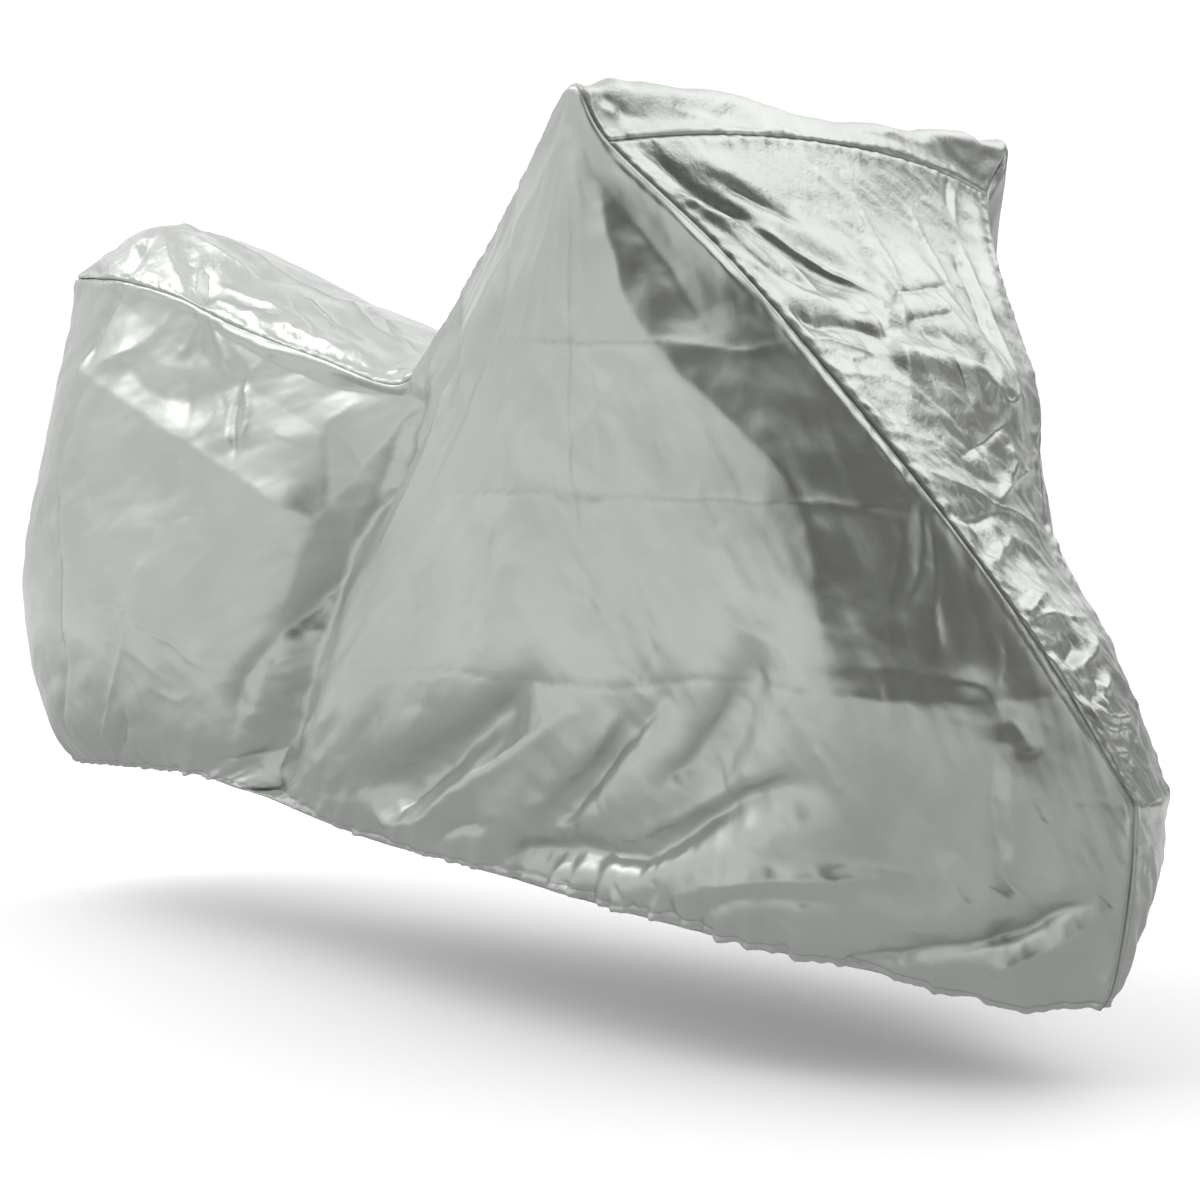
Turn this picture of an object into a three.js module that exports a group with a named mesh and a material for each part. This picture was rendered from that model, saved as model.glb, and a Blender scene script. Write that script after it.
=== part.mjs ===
import * as THREE from 'three';

// A fitted dust cover of thin coated cloth, standing open and hollow in the shape it drapes in.
// Millimetres. X runs from the tail to the nose, Y to the left and Z up from the ground.
// Four cut panels: a right and a left side, a top over the saddle and a front.

const thickness = 2;
const seamGap = 0.3;
const heldAt = [1080, 0, 1124];   // close under the top, midway between the two peaks

// How finely each panel is divided
const stepsPerSection = 4;
const stepsDown = 16;

// The right half, section by section from the centre of the back to the nose. Each section runs
// from the seam along the panel's top edge, past two points down the panel, to the hem.
const sections = [
  { at: 'centre back', seam: [-316, 0, 942], high: [-350, 0], low: [-380, 0], hem: [-318, 0, 190] },
  { at: 'back corner', seam: [-284, -50, 941], high: [-329, -80], low: [-350, -106], hem: [-297, -55, 192] },
  { at: 'tail side', seam: [-212, -88, 941], high: [-246, -142], low: [-262, -174], hem: [-220, -86, 203] },
  { at: 'tail shoulder', seam: [-140, -118, 939], high: [-178, -168], low: [-196, -201], hem: [-150, -112, 209] },
  { at: 'saddle rear', seam: [-61, -140, 935], high: [-104, -184], low: [-122, -216], hem: [-92, -127, 214] },
  { at: 'saddle dip', seam: [80, -160, 912], high: [24, -193], low: [-10, -226], hem: [-28, -142, 219] },
  { at: 'saddle middle', seam: [215, -170, 872], high: [155, -198], low: [105, -229], hem: [42, -156, 225] },
  { at: 'saddle front', seam: [387, -172, 830], high: [320, -200], low: [240, -226], hem: [115, -168, 228] },
  { at: 'valley', seam: [541, -172, 797], high: [486, -172], low: [388, -186], hem: [190, -176, 226] },
  { at: 'rise foot', seam: [626, -184, 862], high: [560, -238], low: [468, -258], hem: [300, -196, 218] },
  { at: 'rise low', seam: [721, -222, 932], high: [660, -282], low: [575, -286], hem: [430, -216, 203] },
  { at: 'rise middle', seam: [858, -290, 1021], high: [778, -320], low: [695, -302], hem: [570, -236, 192] },
  { at: 'rise high', seam: [958, -341, 1094], high: [880, -350], low: [800, -320], hem: [700, -250, 188] },
  { at: 'peak', seam: [1046, -382, 1151], high: [985, -370], low: [915, -326], hem: [835, -264, 181] },
  { at: 'cross seam', seam: [1092, -372, 1086], high: [1060, -374], low: [1020, -328], hem: [965, -273, 173] },
  { at: 'front high', seam: [1215, -313, 960], high: [1190, -358], low: [1155, -322], hem: [1110, -272, 162] },
  { at: 'front middle', seam: [1327, -262, 824], high: [1310, -326], low: [1285, -292], hem: [1240, -236, 142] },
  { at: 'front low', seam: [1447, -200, 661], high: [1432, -234], low: [1410, -206], hem: [1370, -136, 106] },
  { at: 'nose top', seam: [1551, -140, 496], high: [1535, -150], low: [1514, -124], hem: [1482, -84, 89] },
  { at: 'nose', seam: [1624, -88, 345], high: [1614, -76], low: [1596, -66], hem: [1564, -56, 98] },
];

// The left half is the right one mirrored, and from the rise on its top edge hangs closer in and
// lower, and its hem a little closer in.
const leftShifts = [
  { at: 'rise high', seam: [20, 0, -10], hem: [0, 0, 0] },
  { at: 'peak', seam: [68, -2, -37], hem: [10, 0, 0] },
  { at: 'cross seam', seam: [36, -47, -45], hem: [10, -5, 0] },
  { at: 'front high', seam: [5, -92, -15], hem: [0, -25, 0] },
  { at: 'front middle', seam: [-12, -97, -30], hem: [-10, -40, 0] },
  { at: 'front low', seam: [-86, -88, 0], hem: [-30, -30, 0] },
  { at: 'nose top', seam: [-70, -63, 0], hem: [-45, -34, 0] },
  { at: 'nose', seam: [-50, -38, 0], hem: [-50, -38, 0] },
];

// Where the top and the front pass over the middle of the cover, section by section
const ridgeLine = [
  { at: 'tail shoulder', x: -240, z: 979 },
  { at: 'saddle rear', x: -150, z: 1015 },
  { at: 'saddle dip', x: -10, z: 996 },
  { at: 'saddle middle', x: 150, z: 932 },
  { at: 'saddle front', x: 310, z: 884 },
  { at: 'valley', x: 450, z: 843 },
  { at: 'rise foot', x: 590, z: 838 },
  { at: 'rise low', x: 700, z: 872 },
  { at: 'rise middle', x: 830, z: 962 },
  { at: 'rise high', x: 950, z: 1054 },
  { at: 'peak', x: 1080, z: 1129 },
  { at: 'cross seam', x: 1143, z: 1095 },
  { at: 'front high', x: 1235, z: 945 },
  { at: 'front middle', x: 1342, z: 812 },
  { at: 'front low', x: 1426, z: 655 },
  { at: 'nose top', x: 1555, z: 492 },
  { at: 'nose', x: 1612, z: 342 },
];
const crownRoundness = 2.2;   // 2 is a plain arch, more is flatter over the top
const noseBulge = [15, 28, 16, 3];   // how far the front stands out, from the nose down to its hem

const hemCurl = 1.8;   // how late a side turns in towards its hem; at 0 it slants in all the way

// The main folds. Positive ones stand out from the cloth, negative ones are valleys.
// The sides' folds are lines in X and Z, the top's in X and Y, and the front's in Y and Z.
const rightFolds = [
  { at: 'soft ridge under the peak', wide: 60, deep: 12,
    line: [[1043, 1078], [1134, 918], [1215, 828], [1325, 685], [1352, 471]] },
  { at: 'slack above the hem, rear', wide: 38, deep: -14, line: [[916, 423], [760, 380], [630, 316]] },
  { at: 'slack above the hem, middle', wide: 36, deep: -12, line: [[1055, 436], [980, 345], [914, 261]] },
  { at: 'slack above the hem, long', wide: 38, deep: -16,
    line: [[1338, 377], [1180, 310], [1037, 252], [818, 210]] },
  { at: 'slack above the hem, short', wide: 34, deep: -10, line: [[1179, 458], [998, 309]] },
  { at: 'tuck in front of the hem', wide: 30, deep: -12, line: [[1300, 133], [1469, 183], [1583, 250]] },
  { at: 'break across the rear', wide: 45, deep: 8, line: [[-171, 812], [-75, 785], [200, 700], [426, 614]] },
];
const leftFolds = [
  { at: 'pull from the peak', wide: 55, deep: 12, line: [[1100, 1050], [1120, 850], [1160, 620], [1230, 420]] },
  { at: 'slack above the hem, rear', wide: 40, deep: -13, line: [[860, 440], [730, 370], [620, 290]] },
  { at: 'slack above the hem, long', wide: 40, deep: -15, line: [[1250, 400], [1080, 320], [900, 240]] },
  { at: 'break across the rear', wide: 50, deep: 7, line: [[-120, 770], [80, 720], [330, 600]] },
];
const topFolds = [
  { at: 'crest by the right peak', wide: 45, deep: 14,
    line: [[1054, -380], [1062, -290], [1068, -200], [1078, -60]] },
  { at: 'crest by the left peak', wide: 30, deep: 8, line: [[1104, 180], [1110, 320]] },
  { at: 'slack of the rise', wide: 90, deep: -14, line: [[700, 60], [840, 0], [990, -40]] },
  { at: 'puff along the saddle', wide: 28, deep: 8, line: [[230, -120], [340, -125], [470, -130]] },
  { at: 'pull at the saddle dip', wide: 28, deep: -8, line: [[-10, -70], [60, -110], [150, -145]] },
  { at: 'pull across the tail', wide: 34, deep: -7, line: [[-180, -40], [-120, -90]] },
];
const frontFolds = [
  { at: 'ridge from the right peak', wide: 24, deep: 10,
    line: [[-340, 1050], [-273, 955], [-235, 910], [-171, 880], [-96, 877]] },
  { at: 'valley beside that ridge', wide: 26, deep: -11, line: [[-325, 1080], [-235, 985], [-130, 905]] },
  { at: 'second ridge', wide: 26, deep: 8, line: [[-280, 1085], [-180, 1000], [-90, 925]] },
  { at: 'push over the middle', wide: 85, deep: 14, line: [[-60, 860], [60, 866]] },
  { at: 'pull from the left peak', wide: 30, deep: 9, line: [[290, 1050], [225, 960], [150, 880]] },
  { at: 'break over the nose', wide: 32, deep: -8, line: [[-120, 640], [0, 600], [70, 610]] },
];
const seamHold = 0.07;   // share of a panel beside its seams over which the folds die out

const sectionNumber = (name) => sections.findIndex((row) => row.at === name);
const crossSeam = sectionNumber('cross seam');
const nose = sectionNumber('nose');
const tailSide = sectionNumber('tail side');
const stepsAcross = 2 * tailSide * stepsPerSection;   // the same places as the sides have round the tail

const add = (a, b) => a.map((value, k) => value + b[k]);
const take = (a, b) => a.map((value, k) => value - b[k]);
const times = (a, factor) => a.map((value) => value * factor);
const mix = (a, b, share) => a.map((value, k) => value + (b[k] - value) * share);
const cross = (a, b) => [a[1] * b[2] - a[2] * b[1], a[2] * b[0] - a[0] * b[2], a[0] * b[1] - a[1] * b[0]];
const dot = (a, b) => a.reduce((sum, value, k) => sum + value * b[k], 0);
const unit = (a) => times(a, 1 / (Math.hypot(...a) || 1));

// A smooth curve through evenly numbered points; pointAt gives the point with a whole number
function smoothCurve(pointAt, place, last) {
  const start = Math.min(Math.floor(place), last - 1);
  const share = place - start;
  const [before, from, to, after] = [-1, 0, 1, 2].map((step) => pointAt(start + step));
  return from.map((value, k) => {
    const slope = (to[k] - before[k]) / 2;
    const nextSlope = (after[k] - value) / 2;
    const rise = to[k] - value;
    return value + share * slope + share ** 2 * (3 * rise - 2 * slope - nextSlope)
      + share ** 3 * (slope + nextSlope - 2 * rise);
  });
}

const beyond = (list, k) => {
  if (k < 0) {
    return take(times(list[0], 2), list[1]);
  }
  if (k >= list.length) {
    return take(times(list[list.length - 1], 2), list[list.length - 2]);
  }
  return list[k];
};

// One point of a whole-numbered section of the right half, share 0 at the seam and 1 at the hem
function sectionPoint(number, share) {
  if (number < 0) {
    const [x, y, z] = sectionPoint(-number, share);
    return [x, -y, z];
  }
  if (number > nose) {
    return take(times(sectionPoint(nose, share), 2), sectionPoint(nose - 1, share));
  }
  const { seam, high, low, hem } = sections[number];
  const plan = [seam.slice(0, 2), high, low, hem.slice(0, 2)];
  const turn = share - hemCurl * share ** 8 * (1 - share);
  const [x, y] = smoothCurve((k) => beyond(plan, k), turn * 3, 3);
  return [x, y, seam[2] + (hem[2] - seam[2]) * share];
}

function leftShift(number, share) {
  if (number > nose) {
    return take(times(leftShift(nose, share), 2), leftShift(nose - 1, share));
  }
  const row = leftShifts.find(({ at }) => at === sections[Math.max(number, 0)].at);
  return row ? mix(row.seam, row.hem, share ** 2) : [0, 0, 0];
}

function sidePoint(place, share, isLeft) {
  const [x, y, z] = smoothCurve((k) => sectionPoint(k, share), place, nose);
  if (!isLeft) {
    return [x, y, z];
  }
  return add([x, -y, z], smoothCurve((k) => leftShift(k, share), place, nose));
}

// The arch from the right seam, over the middle, to the left seam; across runs from -1 to 1
function arch(right, left, middle, across) {
  const chord = mix(right, left, (across + 1) / 2);
  const rise = take(middle, mix(right, left, 0.5));
  return add(chord, times(rise, 1 - Math.abs(across) ** crownRoundness));
}

// One whole-numbered row across the top or front. The first ones follow the seam around the tail.
function rowPoint(number, across) {
  if (number <= tailSide) {
    return sidePoint(Math.max(number, 0) * Math.abs(across), 0, across > 0);
  }
  if (number > nose) {
    return take(times(rowPoint(nose, across), 2), rowPoint(nose - 1, across));
  }
  const right = sidePoint(number, 0, false);
  const left = sidePoint(number, 0, true);
  const middle = ridgeLine.find((row) => row.at === sections[number].at);
  return arch(right, left, [middle.x, (right[1] + left[1]) / 2, middle.z], across);
}

const stripPoint = (place, across) => smoothCurve((k) => rowPoint(k, across), place, nose);

// Below the nose the front narrows between the two side panels' front edges, down to the hem
function underNosePoint(share, across) {
  const right = sidePoint(nose, share, false);
  const left = sidePoint(nose, share, true);
  const bulge = smoothCurve((k) => beyond(noseBulge.map((value) => [value]), k), share * 3, 3)[0];
  return arch(right, left, add(mix(right, left, 0.5), [bulge, 0, 0]), across);
}

// How far the folds lift a place of a panel, given as the two numbers that its lines are in
function foldLift(folds, place) {
  return folds.reduce((sum, { wide, deep, line }) => {
    let nearest = Infinity;
    let along = 0;
    for (let k = 0; k < line.length - 1; k += 1) {
      const run = take(line[k + 1], line[k]);
      const reach = take(place, line[k]);
      const share = THREE.MathUtils.clamp(dot(run, reach) / dot(run, run), 0, 1);
      const distance = Math.hypot(...take(reach, times(run, share)));
      if (distance < nearest) {
        nearest = distance;
        along = (k + share) / (line.length - 1);
      }
    }
    const fade = Math.min(1, 4 * Math.min(along, 1 - along) + 0.25);
    return sum + deep * fade * Math.exp(-((nearest / wide) ** 2));
  }, 0);
}

const easeIn = (share) => THREE.MathUtils.smoothstep(share, 0, seamHold);

// A panel is a grid of places. Its edges are seams where the next panel is sewn on, or hem.
function makePanel({ name, columns, rows, placeAt, seams, lift }) {
  const grid = [];
  for (let i = 0; i <= columns; i += 1) {
    grid.push([]);
    for (let j = 0; j <= rows; j += 1) {
      grid[i].push(placeAt(i / columns, j / rows));
    }
  }
  return { name, columns, rows, grid, seams, lift };
}

// One name for a place, to a hundredth of a millimetre. The offset keeps a value that lies halfway
// between two of them from being rounded both ways.
const roundingOffset = 0.01;
const keyOf = (point) => point.map((value) => Math.round(value * 100 + roundingOffset)).join(' ');

// The outward direction at each place, shared by the panels that meet there
function sharedNormals(panels) {
  const sums = new Map();
  panels.forEach(({ columns, rows, grid }) => {
    for (let i = 0; i < columns; i += 1) {
      for (let j = 0; j < rows; j += 1) {
        const corners = [grid[i][j], grid[i + 1][j], grid[i + 1][j + 1], grid[i][j + 1]];
        const face = cross(take(corners[2], corners[0]), take(corners[3], corners[1]));
        corners.forEach((corner) => {
          const key = keyOf(corner);
          sums.set(key, add(sums.get(key) ?? [0, 0, 0], face));
        });
      }
    }
  });
  return (point) => unit(sums.get(keyOf(point)));
}

// The folds push each place out or in, and die out at the seams so that the panels still meet
function applyFolds(panel, normalAt) {
  const { columns, rows, seams, lift } = panel;
  const grid = panel.grid.map((column, i) => column.map((point, j) => {
    const edges = [
      { sewn: seams.firstColumn, share: i / columns },
      { sewn: seams.lastColumn, share: 1 - i / columns },
      { sewn: seams.firstRow, share: j / rows },
      { sewn: seams.lastRow, share: 1 - j / rows },
    ];
    const hold = edges.reduce((product, { sewn, share }) => product * (sewn ? easeIn(share) : 1), 1);
    return add(point, times(normalAt(point), hold * lift(point)));
  }));
  return { ...panel, grid };
}

// Draw the sewn edges back by half the gap, square to the seam and along the cloth
function drawBack(panel, normalAt) {
  const { grid, columns, rows, seams } = panel;
  return grid.map((column, i) => column.map((point, j) => {
    const edges = [
      { sewn: seams.firstColumn && i === 0, step: [0, 1] },
      { sewn: seams.lastColumn && i === columns, step: [0, 1] },
      { sewn: seams.firstRow && j === 0, step: [1, 0] },
      { sewn: seams.lastRow && j === rows, step: [1, 0] },
    ];
    const inside = grid[Math.min(Math.max(i, 1), columns - 1)][Math.min(Math.max(j, 1), rows - 1)];
    return edges.filter(({ sewn }) => sewn).reduce((place, { step }) => {
      const next = grid[Math.min(i + step[0], columns)][Math.min(j + step[1], rows)];
      const last = grid[Math.max(i - step[0], 0)][Math.max(j - step[1], 0)];
      const square = unit(cross(take(next, last), normalAt(point)));
      const way = Math.sign(dot(square, take(inside, point)));
      return add(place, times(square, way * seamGap / 2));
    }, point);
  }));
}

// The closed sheet: the outer face, the inner face one thickness in, and the rim between them
function sheetGeometry(panel, normalAt) {
  const { grid, columns, rows } = panel;
  const outer = drawBack(panel, normalAt);
  const inner = outer.map((column, i) => column.map((point, j) => (
    add(point, times(normalAt(grid[i][j]), -thickness)))));
  const points = [...outer.flat(), ...inner.flat()];
  const count = (columns + 1) * (rows + 1);
  const faces = [];
  const quad = (a, b, c, d) => faces.push(a, b, c, a, c, d);
  const at = (i, j) => i * (rows + 1) + j;
  for (let i = 0; i < columns; i += 1) {
    for (let j = 0; j < rows; j += 1) {
      const loop = [at(i, j), at(i + 1, j), at(i + 1, j + 1), at(i, j + 1)];
      quad(...loop);
      quad(...loop.map((index) => index + count).reverse());
    }
  }
  const places = grid.flat();
  // The two rims along a seam are split along the same diagonals, so that they stay side by side
  const rim = (a, b) => {
    const isFirst = keyOf(places[a]) < keyOf(places[b]);
    quad(...(isFirst ? [b, a, a + count, b + count] : [a, a + count, b + count, b]));
  };
  for (let i = 0; i < columns; i += 1) {
    rim(at(i, 0), at(i + 1, 0));
    rim(at(i + 1, rows), at(i, rows));
  }
  for (let j = 0; j < rows; j += 1) {
    rim(at(columns, j), at(columns, j + 1));
    rim(at(0, j + 1), at(0, j));
  }
  const geometry = new THREE.BufferGeometry();
  geometry.setAttribute('position', new THREE.Float32BufferAttribute(points.flat(), 3));
  geometry.setIndex(faces);
  geometry.computeVertexNormals();
  return geometry;
}

const seenFromSide = ([x, , z]) => [x, z];
const seenFromAbove = ([x, y]) => [x, y];
const seenFromFront = ([, y, z]) => [y, z];

const topSections = crossSeam - tailSide;
const frontSections = nose - crossSeam;
const frontSteps = frontSections * stepsPerSection;
const frontColumns = frontSteps + stepsDown;

const flatPanels = [
  makePanel({
    name: 'side_panel_right',
    columns: nose * stepsPerSection,
    rows: stepsDown,
    placeAt: (along, down) => sidePoint((1 - along) * nose, down, false),
    seams: { firstColumn: true, lastColumn: true, firstRow: true },
    lift: (point) => foldLift(rightFolds, seenFromSide(point)),
  }),
  makePanel({
    name: 'side_panel_left',
    columns: nose * stepsPerSection,
    rows: stepsDown,
    placeAt: (along, down) => sidePoint(along * nose, down, true),
    seams: { firstColumn: true, lastColumn: true, firstRow: true },
    lift: (point) => foldLift(leftFolds, seenFromSide(point)),
  }),
  makePanel({
    name: 'top_panel',
    columns: topSections * stepsPerSection,
    rows: stepsAcross,
    placeAt: (along, over) => stripPoint(tailSide + along * topSections, 2 * over - 1),
    seams: { firstColumn: true, lastColumn: true, firstRow: true, lastRow: true },
    lift: (point) => foldLift(topFolds, seenFromAbove(point)),
  }),
  makePanel({
    name: 'front_panel',
    columns: frontColumns,
    rows: stepsAcross,
    placeAt: (along, over) => {
      const step = along * frontColumns;
      return step <= frontSteps
        ? stripPoint(crossSeam + step / stepsPerSection, 2 * over - 1)
        : underNosePoint((step - frontSteps) / stepsDown, 2 * over - 1);
    },
    seams: { firstColumn: true, firstRow: true, lastRow: true },
    lift: (point) => foldLift(frontFolds, seenFromFront(point)),
  }),
];
const restNormal = sharedNormals(flatPanels);
const foldedPanels = flatPanels.map((panel) => applyFolds(panel, restNormal));
const foldedNormal = sharedNormals(foldedPanels);

const silverCloth = new THREE.MeshStandardMaterial({ color: 0xb4b9b2, roughness: 0.4, metalness: 0.5 });

const cover = new THREE.Group();
foldedPanels.forEach((panel) => {
  const mesh = new THREE.Mesh(sheetGeometry(panel, foldedNormal), silverCloth);
  mesh.name = panel.name;
  cover.add(mesh);
});
cover.position.set(...times(heldAt, -1));

export default cover;
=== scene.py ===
import math
import bmesh
import bpy
import numpy as np
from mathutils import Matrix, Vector, noise


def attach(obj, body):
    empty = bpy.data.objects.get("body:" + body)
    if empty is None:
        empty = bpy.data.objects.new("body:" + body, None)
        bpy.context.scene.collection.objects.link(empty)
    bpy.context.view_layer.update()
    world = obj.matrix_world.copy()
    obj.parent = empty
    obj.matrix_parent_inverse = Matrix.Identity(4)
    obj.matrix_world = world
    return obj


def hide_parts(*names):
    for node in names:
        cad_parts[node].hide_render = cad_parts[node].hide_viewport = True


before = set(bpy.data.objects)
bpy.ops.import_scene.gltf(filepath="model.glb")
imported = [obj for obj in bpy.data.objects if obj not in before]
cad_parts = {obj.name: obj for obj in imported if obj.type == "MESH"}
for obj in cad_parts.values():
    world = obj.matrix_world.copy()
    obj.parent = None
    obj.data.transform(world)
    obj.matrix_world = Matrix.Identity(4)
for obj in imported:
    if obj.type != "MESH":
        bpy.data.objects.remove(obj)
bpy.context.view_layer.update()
print("frame loaded:", ", ".join(sorted(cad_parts)))

# Sizes are millimetres from the ground, X to the nose, Y to the left, until cloth() makes them metres
heldAt = np.array([1080.0, 0.0, 1124.0])   # the frame's origin, close under the top


# camera first, so that the rest can be judged from the photograph's place
camera = {
    "azimuth": 42.1,      # degrees round from the right side towards the nose
    "elevation": 5.56,
    "distance": 4000,
    "lookAt": (743, 0, 512),
    "lens": 90.63,        # millimetres on a 36 mm square
}


def direction(azimuth, elevation):
    turn, lift = math.radians(azimuth), math.radians(elevation)
    return Vector((math.sin(turn) * math.cos(lift), -math.cos(turn) * math.cos(lift), math.sin(lift)))


def placed(name, data):
    made = bpy.data.objects.new(name, data)
    bpy.context.collection.objects.link(made)
    return made


def addCamera(c):
    data = bpy.data.cameras.new("camera")
    data.lens = c["lens"]
    data.sensor_width = 36
    data.clip_end = 100
    camObject = placed("camera", data)
    away = direction(c["azimuth"], c["elevation"])
    target = (Vector(c["lookAt"]) - Vector(heldAt)) / 1000
    camObject.location = target + away * c["distance"] / 1000
    camObject.rotation_euler = away.to_track_quat("Z", "Y").to_euler()
    bpy.context.scene.camera = camObject


addCamera(camera)
print("camera placed")


# the shape the cloth hangs in, right half: the seam, two points down the side, and the hem
sections = [
    ("centre back", (-316, 0, 942), (-350, 0), (-380, 0), (-318, 0, 190)),
    ("back corner", (-284, -50, 941), (-329, -80), (-350, -106), (-297, -55, 192)),
    ("tail side", (-212, -88, 941), (-246, -142), (-262, -174), (-220, -86, 203)),
    ("tail shoulder", (-140, -118, 939), (-178, -168), (-196, -201), (-150, -112, 209)),
    ("saddle rear", (-61, -140, 935), (-104, -184), (-122, -216), (-92, -127, 214)),
    ("saddle dip", (80, -160, 912), (24, -193), (-10, -226), (-28, -142, 219)),
    ("saddle middle", (215, -170, 872), (155, -198), (105, -229), (42, -156, 225)),
    ("saddle front", (387, -172, 830), (320, -200), (240, -226), (115, -168, 228)),
    ("valley", (541, -172, 797), (486, -172), (388, -186), (190, -176, 226)),
    ("rise foot", (626, -184, 862), (560, -238), (468, -258), (300, -196, 218)),
    ("rise low", (721, -222, 932), (660, -282), (575, -286), (430, -216, 203)),
    ("rise middle", (858, -290, 1021), (778, -320), (695, -302), (570, -236, 192)),
    ("rise high", (958, -341, 1094), (880, -350), (800, -320), (700, -250, 188)),
    ("peak", (1046, -382, 1151), (985, -370), (915, -326), (835, -264, 181)),
    ("cross seam", (1092, -372, 1086), (1060, -374), (1020, -328), (965, -273, 173)),
    ("front high", (1215, -313, 960), (1190, -358), (1155, -322), (1110, -272, 162)),
    ("front middle", (1327, -262, 824), (1310, -326), (1285, -292), (1240, -236, 142)),
    ("front low", (1447, -200, 661), (1432, -234), (1410, -206), (1370, -136, 106)),
    ("nose top", (1551, -140, 496), (1535, -150), (1514, -124), (1482, -84, 89)),
    ("nose", (1624, -88, 345), (1614, -76), (1596, -66), (1564, -56, 98)),
]
# how much closer in and lower the left half hangs, at its seam and at its hem
leftShifts = {
    "rise high": ((20, 0, -10), (0, 0, 0)),
    "peak": ((68, -2, -37), (10, 0, 0)),
    "cross seam": ((36, -47, -45), (10, -5, 0)),
    "front high": ((5, -92, -15), (0, -25, 0)),
    "front middle": ((-12, -97, -30), (-10, -40, 0)),
    "front low": ((-86, -88, 0), (-30, -30, 0)),
    "nose top": ((-70, -63, 0), (-45, -34, 0)),
    "nose": ((-50, -38, 0), (-50, -38, 0)),
}
# where the top and the front pass over the middle, from the tail shoulder on: X and Z
ridgeLine = [
    (-240, 979), (-150, 1015), (-10, 996), (150, 932), (310, 884), (450, 843), (590, 838), (700, 872),
    (830, 962), (950, 1054), (1080, 1129), (1143, 1095), (1235, 945), (1342, 812), (1426, 655), (1555, 492),
    (1612, 342),
]
crownRoundness = 2.2
hemCurl = 1.8
noseBulge = (15, 28, 16, 3)
tailSide, crossSeam, nose = 2, 14, 19   # section numbers where the panels begin and end


# a smooth curve through evenly numbered rows; rows has one more before the first and after the last
def smoothThrough(rows, place):
    start = np.clip(np.floor(place).astype(int), 0, len(rows) - 4)
    share = (place - start).reshape(place.shape + (1,) * (rows.ndim - 1))
    before, begin, end, after = (rows[start + k] for k in range(4))
    slope, nextSlope, rise = (end - before) / 2, (after - begin) / 2, end - begin
    curve = begin + share * slope + share**2 * (3 * rise - 2 * slope - nextSlope)
    return curve + share**3 * (slope + nextSlope - 2 * rise)


def extended(rows, before=None):
    first = 2 * rows[0] - rows[1] if before is None else before
    return np.concatenate([first[None], rows, (2 * rows[-1] - rows[-2])[None]])


def sideRows(shares, isLeft):
    turn = (shares - hemCurl * shares**8 * (1 - shares)) * 3
    rows = []
    for name, seam, high, low, hem in sections:
        plan = smoothThrough(extended(np.array([seam[:2], high, low, hem[:2]], float)), turn)
        rows.append(np.column_stack([plan, seam[2] + (hem[2] - seam[2]) * shares]))
    rows = np.array(rows)
    rows = extended(rows, rows[1] * (1, -1, 1))   # before the centre back comes the other half
    if not isLeft:
        return rows
    shifts = np.zeros((len(sections), len(shares), 3))
    for number, row in enumerate(sections):
        atSeam, atHem = (np.array(s, float) for s in leftShifts.get(row[0], ((0, 0, 0), (0, 0, 0))))
        shifts[number] = atSeam + (atHem - atSeam) * shares[:, None] ** 2
    return rows * (1, -1, 1) + extended(shifts, shifts[0])


def sidePoints(places, shares, isLeft):
    return smoothThrough(sideRows(shares, isLeft), places)


def seamPoints(places, isLeft):
    return sidePoints(places, np.zeros(1), isLeft)[:, 0]


def arch(right, left, rise, acrosses):
    spread = acrosses[:, None]
    chord = right + (left - right) * (spread + 1) / 2
    return chord + rise * (1 - np.abs(spread) ** crownRoundness)


# the strip over the top and down the front, between the two seams
def stripPoints(places, acrosses):
    rows = []
    for number in range(tailSide - 1, nose + 1):
        if number <= tailSide:
            around = number * np.abs(acrosses)
            right, left = seamPoints(around, False), seamPoints(around, True)
            rows.append(np.where(acrosses[:, None] > 0, left, right))
            continue
        right, left = (seamPoints(np.array([float(number)]), isLeft)[0] for isLeft in (False, True))
        x, z = ridgeLine[number - tailSide - 1]
        rows.append(arch(right, left, (x, (right[1] + left[1]) / 2, z) - (right + left) / 2, acrosses))
    rows.append(2 * rows[-1] - rows[-2])
    return smoothThrough(np.array(rows), places - tailSide)


def underNosePoints(shares, acrosses):
    right, left = (sidePoints(np.array([float(nose)]), shares, isLeft)[0] for isLeft in (False, True))
    bulge = smoothThrough(extended(np.array(noseBulge, float)[:, None]), shares * 3)[:, 0]
    rows = [arch(r, l, np.array([b, 0, 0]), acrosses) for r, l, b in zip(right, left, bulge)]
    return np.array(rows)


# shares from 0 to 1 that stand closer together near either end
def closerAtEnds(count, atStart, atEnd, reach):
    spots = np.linspace(0, 1, 2001)
    density = 1 + atStart * np.exp(-spots / reach) + atEnd * np.exp(-(1 - spots) / reach)
    total = np.concatenate([[0], np.cumsum((density[1:] + density[:-1]) / 2)])
    return np.interp(np.linspace(0, total[-1], count + 1), total, spots)


# section numbers from first to last, with about that many millimetres of seam between two
def sectionPlaces(first, last, spacing):
    found = [np.array([float(first)])]
    for number in range(first, last):
        stretch = seamPoints(np.array([number, number + 1.0]), False)
        steps = max(6, round(np.linalg.norm(stretch[1] - stretch[0]) / spacing))
        found.append(number + np.arange(1, steps + 1) / steps)
    return np.concatenate(found)


def outward(places):
    square = np.cross(np.gradient(places, axis=0), np.gradient(places, axis=1))
    return square / np.linalg.norm(square, axis=2, keepdims=True)


def runAlong(places, axis):
    steps = np.linalg.norm(np.diff(places, axis=axis), axis=2)
    return np.insert(np.cumsum(steps, axis=axis), 0, 0, axis=axis)


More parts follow.
